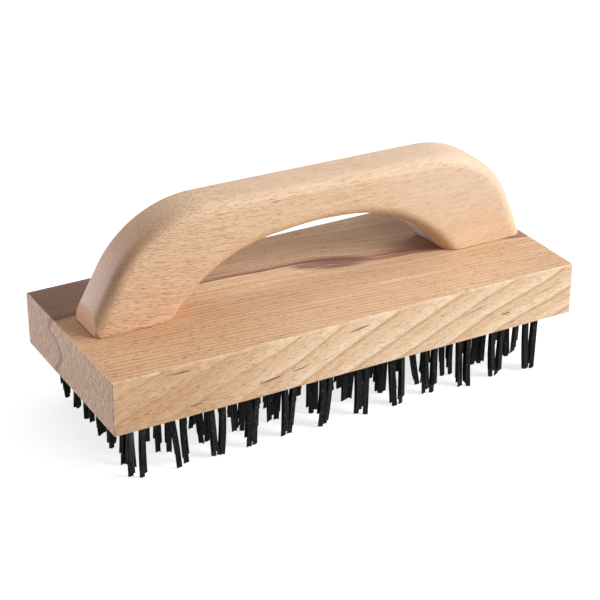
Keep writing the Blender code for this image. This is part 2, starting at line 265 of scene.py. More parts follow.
# The block: one length of hardwood, sawn square with crisp edges that tore a little along the
# top front. It is drilled from below for the tufts and for the two screws of the handle.
BLOCK_LOW, BLOCK_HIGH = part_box("block")
BLOCK_STATION = 0.0008
EDGE_ROUND = 0.0005
EDGE_STEPS = 4
FLAT_CELLS = 8
TEAR_SPACING = 0.0014
TEAR_DEPTH = 0.0009
TUFT_COLUMNS = 12
TUFT_ROWS = 7
TUFT_PITCH_X = 0.0174
TUFT_PITCH_Y = 0.0122
TUFT_OFFSET_X = -0.0013
HOLE_RADIUS = 0.0041
HOLE_DEPTH = 0.0030
HOLE_SIDES = 24
SCREW_HOLE_RADIUS = 0.0045
# Edges that turn by more than this are drawn sharp.
BLOCK_SHARP = math.radians(40)


def surface_object(name, points, faces):
    """An object from an array of points and an array of four-cornered faces."""
    mesh = bpy.data.meshes.new(name)
    mesh.from_pydata(points.reshape(-1, 3).tolist(), [], [list(face) for face in faces])
    mesh.validate()
    made = bpy.data.objects.new(name, mesh)
    scene.collection.objects.link(made)
    return made


def tube_faces(stations, around):
    """The faces of a closed loop of `around` points carried through `stations`, with both ends."""
    ring = np.arange(around)
    after = (ring + 1) % around
    start = np.arange(stations - 1)[:, None] * around
    sides = np.stack([start + ring, start + after, start + around + after, start + around + ring], -1)
    ends = [ring[::-1], (stations - 1) * around + ring]
    return [*sides.reshape(-1, 4), *ends]


def block_surface():
    """The block's skin, x along it and a rounded rectangle round it.

    Station x goes from end to end. There the section is drawn in by e (1 - sin t) over the last
    e of the length, t turning from 0 to a quarter. Round it, corner k at (sy, sz) of the half
    width and half height has an arc of radius r(x): middle = corner - r (sy, sz), point = middle
    + r (cos a, sin a). The front top corner's r grows by the tear, the rest is straight between.
    """
    rng = np.random.default_rng(11)
    turn = np.linspace(0, math.pi / 2, EDGE_STEPS + 1)
    half_length = (BLOCK_HIGH.x - BLOCK_LOW.x) / 2
    half_width = (BLOCK_HIGH.y - BLOCK_LOW.y) / 2
    half_height = (BLOCK_HIGH.z - BLOCK_LOW.z) / 2
    middle_count = int(2 * (half_length - EDGE_ROUND) / BLOCK_STATION)
    run = np.linspace(-half_length + EDGE_ROUND, half_length - EDGE_ROUND, middle_count)
    ease_x = EDGE_ROUND * np.cos(turn)[::-1]
    ease_in = EDGE_ROUND * (1 - np.sin(turn))[::-1]
    left_end = -half_length + EDGE_ROUND - ease_x[::-1]
    right_end = half_length - EDGE_ROUND + ease_x
    x = np.concatenate([left_end, run[1:-1], right_end])
    inset = np.concatenate([ease_in[::-1], np.zeros(len(run) - 2), ease_in])
    knots = np.arange(-half_length, half_length + TEAR_SPACING, TEAR_SPACING)
    depths = np.maximum(rng.normal(0.0, 0.5, len(knots)), 0.0) ** 1.5 * TEAR_DEPTH
    tear = np.interp(x, knots, depths)
    signs = np.array([(1, 1), (-1, 1), (-1, -1), (1, -1)])
    radius = np.full((len(x), 4), EDGE_ROUND)
    radius[:, 1] += tear
    quarter = np.arange(4)[:, None] * math.pi / 2 + turn
    arc = np.stack([np.cos(quarter), np.sin(quarter)], -1)
    corner = signs * np.array([half_width, half_height]) - signs * inset[:, None, None]
    points = (corner - signs * radius[..., None])[:, :, None, :] + radius[:, :, None, None] * arc
    share = np.linspace(0, 1, FLAT_CELLS + 1)[1:-1, None]
    from_arc = points[:, :, -1, None, :]
    to_arc = np.roll(points[:, :, 0, :], -1, axis=1)[:, :, None, :]
    flats = from_arc + (to_arc - from_arc) * share
    section = np.concatenate([points, flats], axis=2).reshape(len(x), -1, 2)
    skin = np.empty((len(x), section.shape[1], 3))
    skin[..., 0] = x[:, None] + (BLOCK_LOW.x + BLOCK_HIGH.x) / 2
    skin[..., 1] = section[..., 0] + (BLOCK_LOW.y + BLOCK_HIGH.y) / 2
    skin[..., 2] = section[..., 1] + (BLOCK_LOW.z + BLOCK_HIGH.z) / 2
    return skin


def tuft_centres():
    """The middle of every tuft, offset + (count - half the counts) * pitch, from the front left."""
    columns = TUFT_OFFSET_X + (np.arange(TUFT_COLUMNS) - (TUFT_COLUMNS - 1) / 2) * TUFT_PITCH_X
    rows = (np.arange(TUFT_ROWS) - (TUFT_ROWS - 1) / 2) * TUFT_PITCH_Y
    return np.stack(np.meshgrid(columns, rows), -1)


def drill_mesh(places, radii, depths):
    """Closed round plugs through the block's underside, one at each place.

    Each is a ring place + r (cos a, sin a) below the underside and the same ring at its depth.
    """
    angle = np.arange(HOLE_SIDES) / HOLE_SIDES * 2 * math.pi
    round_it = np.stack([np.cos(angle), np.sin(angle)], -1)
    points = np.empty((len(places), 2, HOLE_SIDES, 3))
    points[..., :2] = places[:, None, None, :] + radii[:, None, None, None] * round_it
    points[:, 0, :, 2] = BLOCK_LOW.z - EDGE_ROUND
    points[:, 1, :, 2] = (BLOCK_LOW.z + depths)[:, None]
    one = tube_faces(2, HOLE_SIDES)
    faces = [face + plug * 2 * HOLE_SIDES for plug in range(len(places)) for face in one]
    return points, faces


def cut_with(piece, cutter):
    """Takes the cutter's shape out of the piece for good and deletes the cutter."""
    cut = piece.modifiers.new("cut", "BOOLEAN")
    cut.object = cutter
    cut.solver = "EXACT"
    bpy.context.view_layer.objects.active = piece
    bpy.ops.object.modifier_apply(modifier="cut")
    bpy.data.objects.remove(cutter)


def linear(red, green, blue):
    """The light that shows as this colour, written from 0 to 255: ((c + 0.055) / 1.055) ** 2.4."""
    shares = np.array((red, green, blue)) / 255
    return tuple(float(share) for share in ((shares + 0.055) / 1.055) ** 2.4)


def finish_with(shader, colour, roughness, height, relief_mm, specular=0.5):
    """Feeds the shader's colour, roughness and bump, the height being 0 to 1 of `relief_mm`."""
    shader.inputs["Specular IOR Level"].default_value = specular
    tree = colour.tree
    sockets = {"Height": height, "Strength": 1.0, "Distance": relief_mm / 1000}
    bump = colour.node("ShaderNodeBump", {}, sockets)
    tree.links.new(colour.socket, shader.inputs["Base Color"])
    tree.links.new(roughness.socket, shader.inputs["Roughness"])
    tree.links.new(bump.socket, shader.inputs["Normal"])


block_points = block_surface()
block = surface_object("wood_block", block_points, tube_faces(*block_points.shape[:2]))
screw_boxes = [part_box("screw_left"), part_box("screw_right")]
screw_spots = np.array([((low + high) / 2)[:2] for low, high in screw_boxes])
screw_seat = min(low.z for low, high in screw_boxes)
centres = tuft_centres().reshape(-1, 2)
spots = np.concatenate([centres, screw_spots])
hole_radii = np.array([HOLE_RADIUS] * len(centres) + [SCREW_HOLE_RADIUS] * len(screw_spots))
hole_depths = np.array([HOLE_DEPTH] * len(centres) + [screw_seat - BLOCK_LOW.z] * len(screw_spots))
cut_with(block, surface_object("drill", *drill_mesh(spots, hole_radii, hole_depths)))
block.data.shade_smooth()
block.data.set_sharp_from_angle(angle=BLOCK_SHARP)

wood, wood_shader, (x, y, z) = new_finish("block wood")
# From here on places are in millimetres. Each growth ring is a thin dark line, with a pale band
# in front of it that dulls slowly. The rings lean forward and down, and bend round a knot in
# the hidden wood.
BOTTOM_MM = BLOCK_LOW.z * 1000
TOP_MM = BLOCK_HIGH.z * 1000
END_MM = BLOCK_HIGH.x * 1000
SIDE_MM = BLOCK_HIGH.y * 1000
WOOD_SPECULAR = 0.35
GRAIN_RISE = 0.13
RING_WIDTH = 2.41
RING_START = 33.1
RING_TURN = 0.09
RING_LEAN = 0.225
RING_WANDER = 3.2
KNOT_X = 22
KNOT_REACH = 14
KNOT_BEND = 4.2
knot = ((x - KNOT_X) / KNOT_REACH).math("TANH") + 1
bend = knot * y.step(-25.0, 12.0) * (1 - y.step(12.0, 24.0) * 0.6) * KNOT_BEND
wander = (x.noise(x / 80, y / 25, z / 40) - 0.5) * RING_WANDER
ring_place = y + x * RING_TURN - (z - TOP_MM) * RING_LEAN + bend + wander
ring = ((-RING_START - ring_place) / RING_WIDTH).math("FRACT")
pale_band = ring.step(0.0, 0.06) * (1 - ring.step(0.14, 0.62))
ring_line = ring.step(0.80, 0.98) * (1 - ring.step(0.985, 1.0))
# Thin dark streaks, creamy streaks, single fibres and broad clouds, all along the rings.
grain_z = z - x * GRAIN_RISE
thin = x.noise(x / 42, ring_place / 0.55, z / 6)
cream = x.noise(x / 70, ring_place / 1.9, z / 9)
fibre = x.noise(x / 4.5, ring_place / 0.24, grain_z / 0.24)
cloud = x.noise(x / 60, ring_place / 9, z / 14, 2.0)
# 1 on the front face, on the top and on the two ends.
front = 1 - (y + SIDE_MM).step(0.1, 1.0)
top = (z - TOP_MM).step(-0.5, -0.1) * (1 - front)
left_end = 1 - (x + END_MM).step(0.3, 0.9)
end = left_end.math("MAXIMUM", (x - END_MM).step(-0.9, -0.3))

# The body of the wood: browner at the left end, redder there on top, and pale at the right.
paleness = x.step(-110.0, 12.0) * 0.70 - x.step(70.0, 110.0) * top * 0.14
paleness = paleness + front * x.step(-80.0, -10.0) * 0.55
left_body = cloud.step(0.30, 0.72).mix(linear(206, 160, 120), linear(220, 177, 136))
left_body = (top * 0.52).mix(left_body, linear(208, 152, 102))
body = paleness.mix(left_body, linear(238, 201, 163))

# The rings over it, strongest on the right of the front face, then fine fibres.
light_wood = linear(252, 228, 196)
dark_wood = linear(190, 140, 98)
across = x.step(-75.0, -5.0)
band_show = front * (0.14 + across * 0.62) + (1 - front) * (0.34 - across * 0.02)
line_show = front * (0.26 + across * 0.30) + (1 - front) * (0.54 - x.step(-60.0, 0.0) * 0.20)
toned = (pale_band * band_show).mix(body, light_wood)
toned = (ring_line * line_show).mix(toned, dark_wood)
toned = (cream.step(0.54, 0.72) * top * (0.20 + across * 0.35)).mix(toned, light_wood)
toned = ((1 - thin.step(0.30, 0.44)) * (0.50 - front * 0.30)).mix(toned, linear(182, 132, 94))
toned = ((1 - fibre.step(0.30, 0.46)) * (0.33 + front * 0.30)).mix(toned, linear(172, 122, 86))
toned = (fibre.step(0.56, 0.70) * (0.16 + front * 0.26)).mix(toned, light_wood)

# Open pores: short dark grains along the rings, in clusters, fewer towards the right.
cluster = x.noise(x / 14, ring_place / 2.2, z / 4).step(0.35, 0.65)
crowd = cluster * (0.36 - across * 0.22) * (1 - front * 0.45) + 0.02
pore = x.dashes(x / 2.2, ring_place / 0.40, grain_z / 0.36, crowd, 0.62)
toned = (pore * (0.60 - front * (0.16 + across * 0.26))).mix(toned, linear(124, 80, 52))

# The dark line of heartwood across the top, from end to end, and its hook down the left end.
# One curve gives the line's y along the block, the other the hook's y up the end, as shares of
# their spans. The hook starts where the line meets the top edge.
LINE_START = -11.0
LINE_SPAN = 32
LINE_CURVE = [
    (0.0, 0.866),
    (0.31, 0.888),
    (0.45, 0.809),
    (0.54, 0.762),
    (0.67, 0.362),
    (0.736, 0.294),
    (0.80, 0.220),
    (0.93, 0.12),
    (0.97, 0.04),
    (1.0, 0.0),
]
along = (x + END_MM) / (2 * END_MM)
line_share = x.node("ShaderNodeFloatCurve", {"curve": LINE_CURVE}, {"Value": along})
line_y = line_share * LINE_SPAN + LINE_START
HOOK_SPAN = 15
HOOK_CURVE = [
    (0.0, 0.62),
    (0.10, 0.55),
    (0.25, 0.34),
    (0.42, 0.16),
    (0.58, 0.26),
    (0.66, 0.54),
    (0.74, 0.94),
    (0.88, 0.86),
    (1.0, 0.72),
]
upward = (z - BOTTOM_MM) / (TOP_MM - BOTTOM_MM)
hook_share = x.node("ShaderNodeFloatCurve", {"curve": HOOK_CURVE}, {"Value": upward})
near_end = 1 - (x + END_MM).step(0.0, 20.0)
heart_y = line_y + (hook_share - HOOK_CURVE[-1][1]) * HOOK_SPAN * near_end
heart_off = y - heart_y + (x.noise(x / 12, y / 3, z / 5) - 0.5) * 1.2
past_patch = x.step(14.0, 40.0)
left_part = 1 - x.step(-92.0, -80.0)
heart = heart_off.near(left_part * -0.4, 1.3 + left_part * 2.6)
warm_side = heart_off.near(1.2 + past_patch * 1.9, 3.6 + past_patch * 2.2)
smear = x.noise(x / 22, heart_off / 0.9, z / 3).step(0.25, 0.65)
# Behind the line the wood is darker heartwood, with painted shadow of the handle added on top: strongest
# behind the left leg and beside the right leg.
beyond = heart_off.step(-0.8, 2.5)
heartwood_and_shadow_show = 0.82 - x.step(-95.0, -30.0) * 0.54 + x.step(36.0, 68.0) * 0.50
toned = (beyond * heartwood_and_shadow_show).mix(toned, linear(128, 96, 82))
warm_show = (1 - left_part) * (0.70 + past_patch * 0.24)
warm_tone = past_patch.mix(linear(146, 98, 82), linear(146, 92, 80))
toned = (warm_side * smear * warm_show).mix(toned, warm_tone)
heart_show = (0.85 - past_patch * 0.25) * (1 - x.step(92.0, 96.0))
heart_tone = left_part.mix(linear(98, 60, 46), linear(74, 48, 40))
toned = (heart * heart_show).mix(toned, heart_tone)
second_line = heart_off.near(4.4, 0.8) * x.near(-33.0, 16.0)
toned = (second_line * 0.65).mix(toned, linear(112, 74, 56))

# A purple-brown patch on the line, and painted shadow round the left toe.
PATCH_X = 17
PATCH_Y = 7.4
TOE_SHADOW_X = -103
TOE_SHADOW_Y = 2.0
patch = ((x - PATCH_X) / 20.0) ** 2 + ((y - PATCH_Y + (x - PATCH_X) * 0.26) / 7.0) ** 2
patch = (1 - patch.step(0.25, 1.1)) * x.noise(x / 14, (y + x * 0.3) / 1.1, z / 2, 2.0).step(0.12, 0.52)
toned = (patch * 0.88).mix(toned, linear(122, 78, 68))
# Painted shadow, brown, round the left toe.
painted_toe_shadow = ((x - TOE_SHADOW_X) / 11.0) ** 2 + ((y - TOE_SHADOW_Y) / 15.0) ** 2
toned = ((1 - painted_toe_shadow.step(0.2, 1.2)) * top * 0.40).mix(toned, linear(158, 116, 84))

# Behind the right foot the wood is browner, with the dark line beside it again.
wedge = x.step(86.0, 100.0) * (1 - y.step(4.0, 24.0)) * top
toned = (wedge * beyond * 0.85).mix(toned, linear(190, 136, 114))
toned = (wedge * heart_off.near(-0.6, 0.8) * 0.85).mix(toned, linear(96, 54, 42))

# End grain: greyer and pinker, with the rings as fine upright lines and open vessels.
end_lean = y + z * 0.28
forward = 1 - y.step(-20.0, 14.0)
end_rings = x.noise(0.0, end_lean, z / 4.0, 2.0)
vessels = x.dashes(3.0, end_lean / 0.8, z / 1.9, 0.40, 0.62)
bright_vessels = x.dashes(8.0, end_lean / 0.8, z / 1.9, 0.36, 0.62)
end_tone = end_rings.step(0.35, 0.65).mix(linear(220, 180, 152), linear(254, 223, 196))
end_tone = (vessels * (0.20 + forward * 0.35)).mix(end_tone, linear(150, 112, 92))
end_tone = (bright_vessels * (0.15 + forward * 0.35)).mix(end_tone, linear(252, 232, 208))
hook_bar = (z - (y - 16) * 0.18).near(44.9, 1.3) * y.near(15.0, 5.5)
hook = heart_off.near(0.0, 2.4).math("MAXIMUM", hook_bar) * (1 - (x + END_MM).step(0.5, 1.0))
end_tone = (hook * 0.58).mix(end_tone, linear(136, 98, 84))
toned = (end * 0.92).mix(toned, end_tone)

# Cracks and small tears where the saw lifted the grain on the front face, each with its middle
# (x, z), how far it reaches along and across, and its rise to the right.
GASHES = (
    (-80.5, 48.5, 4.8, 0.42, 0.02),
    (1.0, 47.0, 5.8, 0.42, 0.16),
    (-41.0, 34.3, 6.6, 0.42, 0.11),
    (-27.0, 35.8, 4.2, 0.30, 0.12),
    (75.0, 35.6, 2.8, 0.40, 0.02),
    (58.0, 40.8, 8.0, 0.20, 0.22),
    (-74.0, 32.2, 3.4, 0.30, 0.04),
)
gash = 0.0
for gash_x, gash_z, reach_x, reach_z, rise in GASHES:
    off_x = (x - gash_x) / reach_x
    off_z = (z - gash_z - (x - gash_x) * rise + (x.noise(x / 1.6, 3.0, 5.0) - 0.5) * 0.9) / reach_z
    gash = (1 - (off_x**2 + off_z**2).step(0.3, 1.0)) + gash
gash = gash * front
toned = (gash * 0.75).mix(toned, linear(108, 66, 44))

# The pale, slightly furry rim where the top meets the front.
rim = (z - TOP_MM + x.noise(x / 3.4, 1.0, 2.0, 2.0) * 1.9).step(-0.3, 0.5)
rim = rim * (1 - (y + SIDE_MM).step(0.0, 1.1)) * x.noise(x / 6, 4.0, 4.0, 2.0).step(0.35, 0.65)
toned = (rim * 0.55).mix(toned, linear(248, 226, 198))

# The drilled holes are darker inside: painted shade in the holes.
within_sides = (1 - (y.math("ABSOLUTE") - SIDE_MM).step(-0.7, -0.3)) * (1 - end)
painted_hole_shade = (z - BOTTOM_MM).step(0.3, 0.5) * (1 - (z - BOTTOM_MM).step(3.4, 3.5)) * within_sides
toned = (painted_hole_shade * 0.9).mix(toned, linear(96, 66, 48))
relief = fibre * 0.4 + thin * 0.4 - pore * 0.8 - gash * 1.5
finish_with(wood_shader, toned, 0.62 + thin * 0.15, relief, relief_mm=0.18, specular=WOOD_SPECULAR)
block.data.materials.append(wood)
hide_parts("block")
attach(block, "root")


# The handle: an arch sawn from a beech plank, its long edges all rounded over, then its toes
# and feet sawn flat and the left toe ground by hand. The right leg kept a ragged rim of torn
# fibres at the back of the finger gap.
HANDLE_LOW, HANDLE_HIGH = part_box("handle")
HANDLE_BASE = HANDLE_LOW.z
OUTER_ROUND = 0.0058
INNER_ROUND = 0.0060
# Between the shoulders the outer rounding leaves the face at an angle, in a line that shows;
# it is lost in the left leg and weak in the right one.
FACE_TILT = math.radians(15)
TILT_X = (-0.075, -0.035, 0.020, 0.070, 0.100)
TILT_SHARE = (0.0, 1.0, 0.9, 0.5, 0.2)
# What was flat between two roundings is crowned: it tilts by this angle at its edges.
CROWN_TILT = math.radians(3)
# Torn fibres stand out into the gap along its back edge here.
TORN_FROM_X = 0.0480
TORN_BLEND = 0.0030
TORN_STAND = 0.0020
LEFT_RISE = 0.0481
RIGHT_RISE = 0.0465
LEFT_FACET = 0.0064
RIGHT_FACET = 0.0042
TOE_CREASE = 0.0088
TOE_ROUND = 0.0030
LEFT_LEAN = math.radians(29.1)
RIGHT_LEAN = math.radians(21.3)
LEFT_SHOULDER = 0.0500
RIGHT_SHOULDER = 0.0440
BELOW_FOOT = 0.0080
ARCH_STATIONS = 260
ROUND_STEPS = 8
CORNER_STEPS = 24
FACE_CELLS = 10
ROOF_CELLS = 6
HANDLE_SHARP = math.radians(11)
# The finger gap: (x, rise, rounding) of its feet, knees and peak, from the handle's base.
GAP_CORNERS = (
    (-0.06395, 0.0, 0.0),
    (-0.04525, 0.0233, 0.0665),
    (0.0028, 0.0281, 0.1100),
    (0.04915, 0.0251, 0.0670),
    (0.06760, 0.0, 0.0),
)


def extended(start, towards, depth):
    """The point where the line from `towards` through `start` is `depth` below the base."""
    slope = (towards - start) / (towards[1] - start[1])
    return start - slope * (start[1] + depth)


def rounded_path(corners, radii):
    """A path through corners with an arc of each radius: middle + r (cos a, sin a), both tangent."""
    points = [corners[:1]]
    for before, corner, after, radius in zip(corners, corners[1:-1], corners[2:], radii):
        to_before = (before - corner) / np.linalg.norm(before - corner)
        to_after = (after - corner) / np.linalg.norm(after - corner)
        half_angle = math.acos(float(to_before @ to_after)) / 2
        halfway = (to_before + to_after) / np.linalg.norm(to_before + to_after)
        middle = corner + halfway * radius / math.sin(half_angle)
        start = corner + to_before * radius / math.tan(half_angle) - middle
        finish = corner + to_after * radius / math.tan(half_angle) - middle
        from_angle = math.atan2(start[1], start[0])
        turn = (math.atan2(finish[1], finish[0]) - from_angle + math.pi) % (2 * math.pi) - math.pi
        angle = from_angle + turn * np.linspace(0, 1, CORNER_STEPS + 1)
        points.append(middle + radius * np.stack([np.cos(angle), np.sin(angle)], -1))
    points.append(corners[-1:])
    return np.concatenate(points)


def even_path(points, count):
    """The same path as `count` points at equal steps along it, and the unit normal on its left."""
    length = np.concatenate([[0.0], np.cumsum(np.hypot(*np.diff(points, axis=0).T))])
    along = np.linspace(0, length[-1], count)
    path = np.stack([np.interp(along, length, points[:, axis]) for axis in (0, 1)], -1)
    tangent = np.gradient(path, axis=0)
    tangent /= np.linalg.norm(tangent, axis=1)[:, None]
    return path, np.stack([-tangent[:, 1], tangent[:, 0]], -1)


def arch_paths():
    """The outer side and the finger gap as even paths, left to right, running on below the feet."""
    left_toe, right_toe = HANDLE_LOW.x, HANDLE_HIGH.x
    left_facet = np.array([left_toe, LEFT_FACET])
    right_facet = np.array([right_toe, RIGHT_FACET])
    left_top = np.array([left_toe + (LEFT_RISE - LEFT_FACET) * math.tan(LEFT_LEAN), LEFT_RISE])
    right_top = np.array([right_toe - (RIGHT_RISE - RIGHT_FACET) * math.tan(RIGHT_LEAN), RIGHT_RISE])
    left_foot = extended(left_facet, left_top, BELOW_FOOT)
    right_foot = extended(right_facet, right_top, BELOW_FOOT)
    outer = np.array([left_foot, left_top, right_top, right_foot])
    gap = np.array([corner[:2] for corner in GAP_CORNERS])
    gap[0] = extended(gap[0], gap[1], BELOW_FOOT)
    gap[-1] = extended(gap[-1], gap[-2], BELOW_FOOT)
    outer_path = even_path(rounded_path(outer, (LEFT_SHOULDER, RIGHT_SHOULDER)), ARCH_STATIONS)
    gap_path = even_path(rounded_path(gap, [corner[2] for corner in GAP_CORNERS[1:-1]]), ARCH_STATIONS)
    return outer_path, gap_path


def arch_surface():
    """The arch's skin: at each station a loop round the section, from the outer side to the gap.

    With inward offset o and depth y, the loop runs from the front face over a rounding of
    radius r, o = r (sin e - sin a) + s and y = r (cos f - cos a) with the tilt a from f to e,
    then over a crown of radius c, o = c (1 - sin a) and y = half - c cos a with a from e to a
    quarter turn, and the same mirrored to the back face. Here c = (half - y(e)) / cos e and
    s = c (1 - sin e). The point is path + normal * o. Past the start of the torn fibres the
    gap's back rounding has o = -stand * share instead, its share growing to 1 at the back face.
    The second result is the tilt's sine, 1 all along the outer side, -1 along the gap's and 0
    on both faces.
    """
    (outer, outer_left), (gap, gap_left) = arch_paths()
    half = (HANDLE_HIGH.y - HANDLE_LOW.y) / 2

    def side(radius, tilt):
        last = math.pi / 2 - CROWN_TILT
        angle = tilt[:, None] + (last - tilt[:, None]) * np.linspace(0, 1, ROUND_STEPS + 1)
        depth = radius * (np.cos(tilt)[:, None] - np.cos(angle))
        crown = (half - depth[:, -1:]) / math.cos(last)
        inward = radius * (math.sin(last) - np.sin(angle)) + crown * (1 - math.sin(last))
        rest = np.linspace(last, math.pi / 2, ROOF_CELLS + 1)[1:]
        depth = np.concatenate([depth, half - crown * np.cos(rest)], axis=1)
        inward = np.concatenate([inward, crown * (1 - np.sin(rest))], axis=1)
        sine = np.concatenate([np.sin(angle), np.ones((len(tilt), ROOF_CELLS))], axis=1)
        mirrored = (inward[:, -2::-1], 2 * half - depth[:, -2::-1], sine[:, -2::-1])
        return [np.concatenate(pair, axis=1) for pair in zip((inward, depth, sine), mirrored)]

    outer_tilt = FACE_TILT * np.interp(outer[:, 0], TILT_X, TILT_SHARE)
    outer_in, outer_y, outer_sine = side(OUTER_ROUND, outer_tilt)
    gap_in, gap_y, gap_sine = side(INNER_ROUND, np.zeros(len(gap)))
    torn = np.clip((gap[:, :1] - TORN_FROM_X) / TORN_BLEND, 0, 1)
    stand = TORN_STAND * np.random.default_rng(7).uniform(0.75, 1.0, (len(gap), 1))
    burr = -stand * np.linspace(0, 1, ROUND_STEPS + 1)
    gap_in[:, -ROUND_STEPS - 1 :] += torn * (burr - gap_in[:, -ROUND_STEPS - 1 :])
    over = outer[:, None, :] - outer_left[:, None, :] * outer_in[..., None]
    under = gap[:, None, :] + gap_left[:, None, :] * gap_in[..., None]
    share = np.linspace(0, 1, FACE_CELLS + 1)[1:-1, None]
    back_face = over[:, -1:, :] + (under[:, -1:, :] - over[:, -1:, :]) * share
    front_face = under[:, :1, :] + (over[:, :1, :] - under[:, :1, :]) * share
    face = np.zeros((len(outer), FACE_CELLS - 1))
    loop = np.concatenate([over, back_face, under[:, ::-1, :], front_face], axis=1)
    skin = np.empty((*loop.shape[:2], 3))
    skin[..., 0] = loop[..., 0]
    skin[..., 1] = HANDLE_LOW.y + np.concatenate([outer_y, face + 2 * half, gap_y[:, ::-1], face], axis=1)
    skin[..., 2] = HANDLE_BASE + loop[..., 1]
    return skin, np.concatenate([outer_sine, face, -gap_sine[:, ::-1], face], axis=1)


def box_planes(low, high):
    """The six planes of a box, each as a point on it and the way out."""
    ways = [Vector(way) for way in np.eye(3)]
    return [(low, -way) for way in ways] + [(high, way) for way in ways]


def toe_planes(low, high):
    """The ground face of the left toe, leaning in up to its crease, and its two upright edges.

    Each edge is rounded by narrow cuts: the one at turn a faces (-cos a, -sin a) at the front and
    (-cos a, sin a) at the back, and is r away from the rounding's axis.
    """
    lean_in = (TOE_CREASE - LEFT_FACET) * math.tan(LEFT_LEAN)
    planes = [(low, Vector((-TOE_CREASE, 0.0, lean_in)).normalized())]
    for edge_y, way in ((low.y, -1.0), (high.y, 1.0)):
        axis = Vector((low.x + TOE_ROUND, edge_y - way * TOE_ROUND, 0.0))
        for turn in np.radians([15, 30, 45, 60, 75]):
            out = Vector((-math.cos(turn), way * math.sin(turn), 0.0))
            planes.append((axis + out * TOE_ROUND, out))
    return planes


def saw_off(piece, planes):
    """Saws the piece off at each plane and closes it there."""
    sawn = bmesh.new()
    sawn.from_mesh(piece.data)
    for corner, way_out in planes:
        everything = sawn.verts[:] + sawn.edges[:] + sawn.faces[:]
        cut = bmesh.ops.bisect_plane(
            sawn, geom=everything, plane_co=corner, plane_no=way_out, clear_outer=True, dist=1e-7
        )
        edges = [item for item in cut["geom_cut"] if isinstance(item, bmesh.types.BMEdge)]
        rims = [edge for edge in edges if edge.is_boundary]
        if rims:
            bmesh.ops.edgeloop_fill(sawn, edges=rims)
    bmesh.ops.recalc_face_normals(sawn, faces=sawn.faces[:])
    sawn.to_mesh(piece.data)
    sawn.free()


arch_points, arch_sides = arch_surface()
handle = surface_object("beech_handle", arch_points, tube_faces(*arch_points.shape[:2]))
handle.data.attributes.new("side", "FLOAT", "POINT").data.foreach_set("value", arch_sides.ravel())
saw_off(handle, box_planes(HANDLE_LOW, HANDLE_HIGH) + toe_planes(HANDLE_LOW, HANDLE_HIGH))
handle.data.shade_smooth()
handle.data.set_sharp_from_angle(angle=HANDLE_SHARP)

beech, beech_shader, (x, y, z) = new_finish("beech")
# The grain bows: it falls towards the left foot and rises towards the right shoulder. Broad
# clouds, streaks and fine lines follow it.
grain_z = z - x * (x * 0.0010 + 0.0015)
grain_y = y - x * 0.03
side = x.node("ShaderNodeAttribute", {"attribute_name": "side"}, {}, "Fac")
streak = x.noise(x / 34, grain_y / 1.6, grain_z / 1.6, 2.0)
broad = x.noise(x / 90, grain_y / 16, grain_z / 16, 2.0)
fine_lines = x.noise(x / 16, grain_y / 0.42, grain_z / 0.42)
leftward = 1 - x.step(-110.0, 20.0)
pale = broad.step(0.3, 0.7).mix(linear(229, 194, 158), linear(236, 203, 168))
pale = (x.step(20.0, 60.0) * z.step(62.0, 72.0) * 0.32).mix(pale, linear(239, 215, 196))
tone = (leftward * (0.85 - z.step(66.0, 90.0) * 0.75)).mix(pale, linear(232, 190, 153))
tone = (streak.step(0.5, 0.9) * 0.45).mix(tone, linear(244, 216, 186))
rightward = x.step(10.0, 60.0)
outer_side = side.step(0.2, 0.9)
dark_streaks = (1 - streak.step(0.2, 0.5)) * (0.36 - rightward * 0.16)
tone = dark_streaks.mix(tone, linear(208, 162, 122))
dark_lines = (1 - fine_lines.step(0.28, 0.52)) * (0.38 + outer_side * 0.16 - rightward * 0.22)
tone = dark_lines.mix(tone, linear(200, 152, 112))
pale_lines = fine_lines.step(0.56, 0.78) * (0.30 + outer_side * 0.20)
tone = pale_lines.mix(tone, linear(248, 222, 194))
# The short dark flecks of beech, dense at the left, and longer and paler ones at the right.
left_strip = side.step(0.6, 0.95) * (1 - x.step(-75.0, -45.0))
crowd = (0.24 + leftward * 0.34 + broad * 0.12 - x.step(20.0, 70.0) * 0.06) * (1 - left_strip * 0.6)
fleck = x.dashes(x / 2.7, grain_y / 0.38, grain_z / 0.33, crowd, 0.62)
long_fleck = x.dashes(x / 6.0 + 7.0, grain_y / 0.50, grain_z / 0.45, 0.22 + left_strip * 0.1, 0.60)
tone = (long_fleck * 0.30).mix(tone, linear(188, 136, 96))
tone = (fleck * (0.46 + leftward * 0.16 - x.step(25.0, 70.0) * 0.18)).mix(tone, linear(146, 96, 62))
# The left end shows its end grain, with a painted sheen towards the back and painted shade on
# its front rounding, deeper up at the shoulder. The top has a painted sheen, paler than the
# faces, and the outer right side painted shade, darker and pinker.
painted_left_sheen = left_strip * y.step(-8.0, 5.0) * (1 - z.step(72.0, 88.0))
tone = (painted_left_sheen * 0.90).mix(tone, linear(248, 216, 190))
# Painted shade on the front rounding of the left end.
painted_left_shade = side.step(0.30, 0.80) * (1 - x.step(-80.0, -48.0))
painted_left_shade = painted_left_shade * (1 - y.step(-8.0, 1.0) * 0.5) * z.step(62.0, 80.0)
tone = (painted_left_shade * 0.62).mix(tone, linear(194, 144, 108))
tone = ((1 - fine_lines.step(0.35, 0.60)) * left_strip * 0.30).mix(tone, linear(166, 128, 104))
# Painted sheen along the top, paler.
painted_top_sheen = side.step(0.4, 0.95) * x.step(-50.0, -10.0)
tone = (painted_top_sheen * 0.30).mix(tone, linear(248, 216, 190))
# Painted shade down the outer right side, darker and pinker.
painted_right_shade = side.step(0.5, 0.95) * x.step(72.0, 88.0)
tone = (painted_right_shade * 0.60).mix(tone, linear(216, 184, 166))
# The ground face of the left toe shows fresher wood.
ground = 1 - (x - HANDLE_LOW.x * 1000).step(1.5, 1.9)
tone = (ground * 0.6).mix(tone, linear(236, 186, 148))
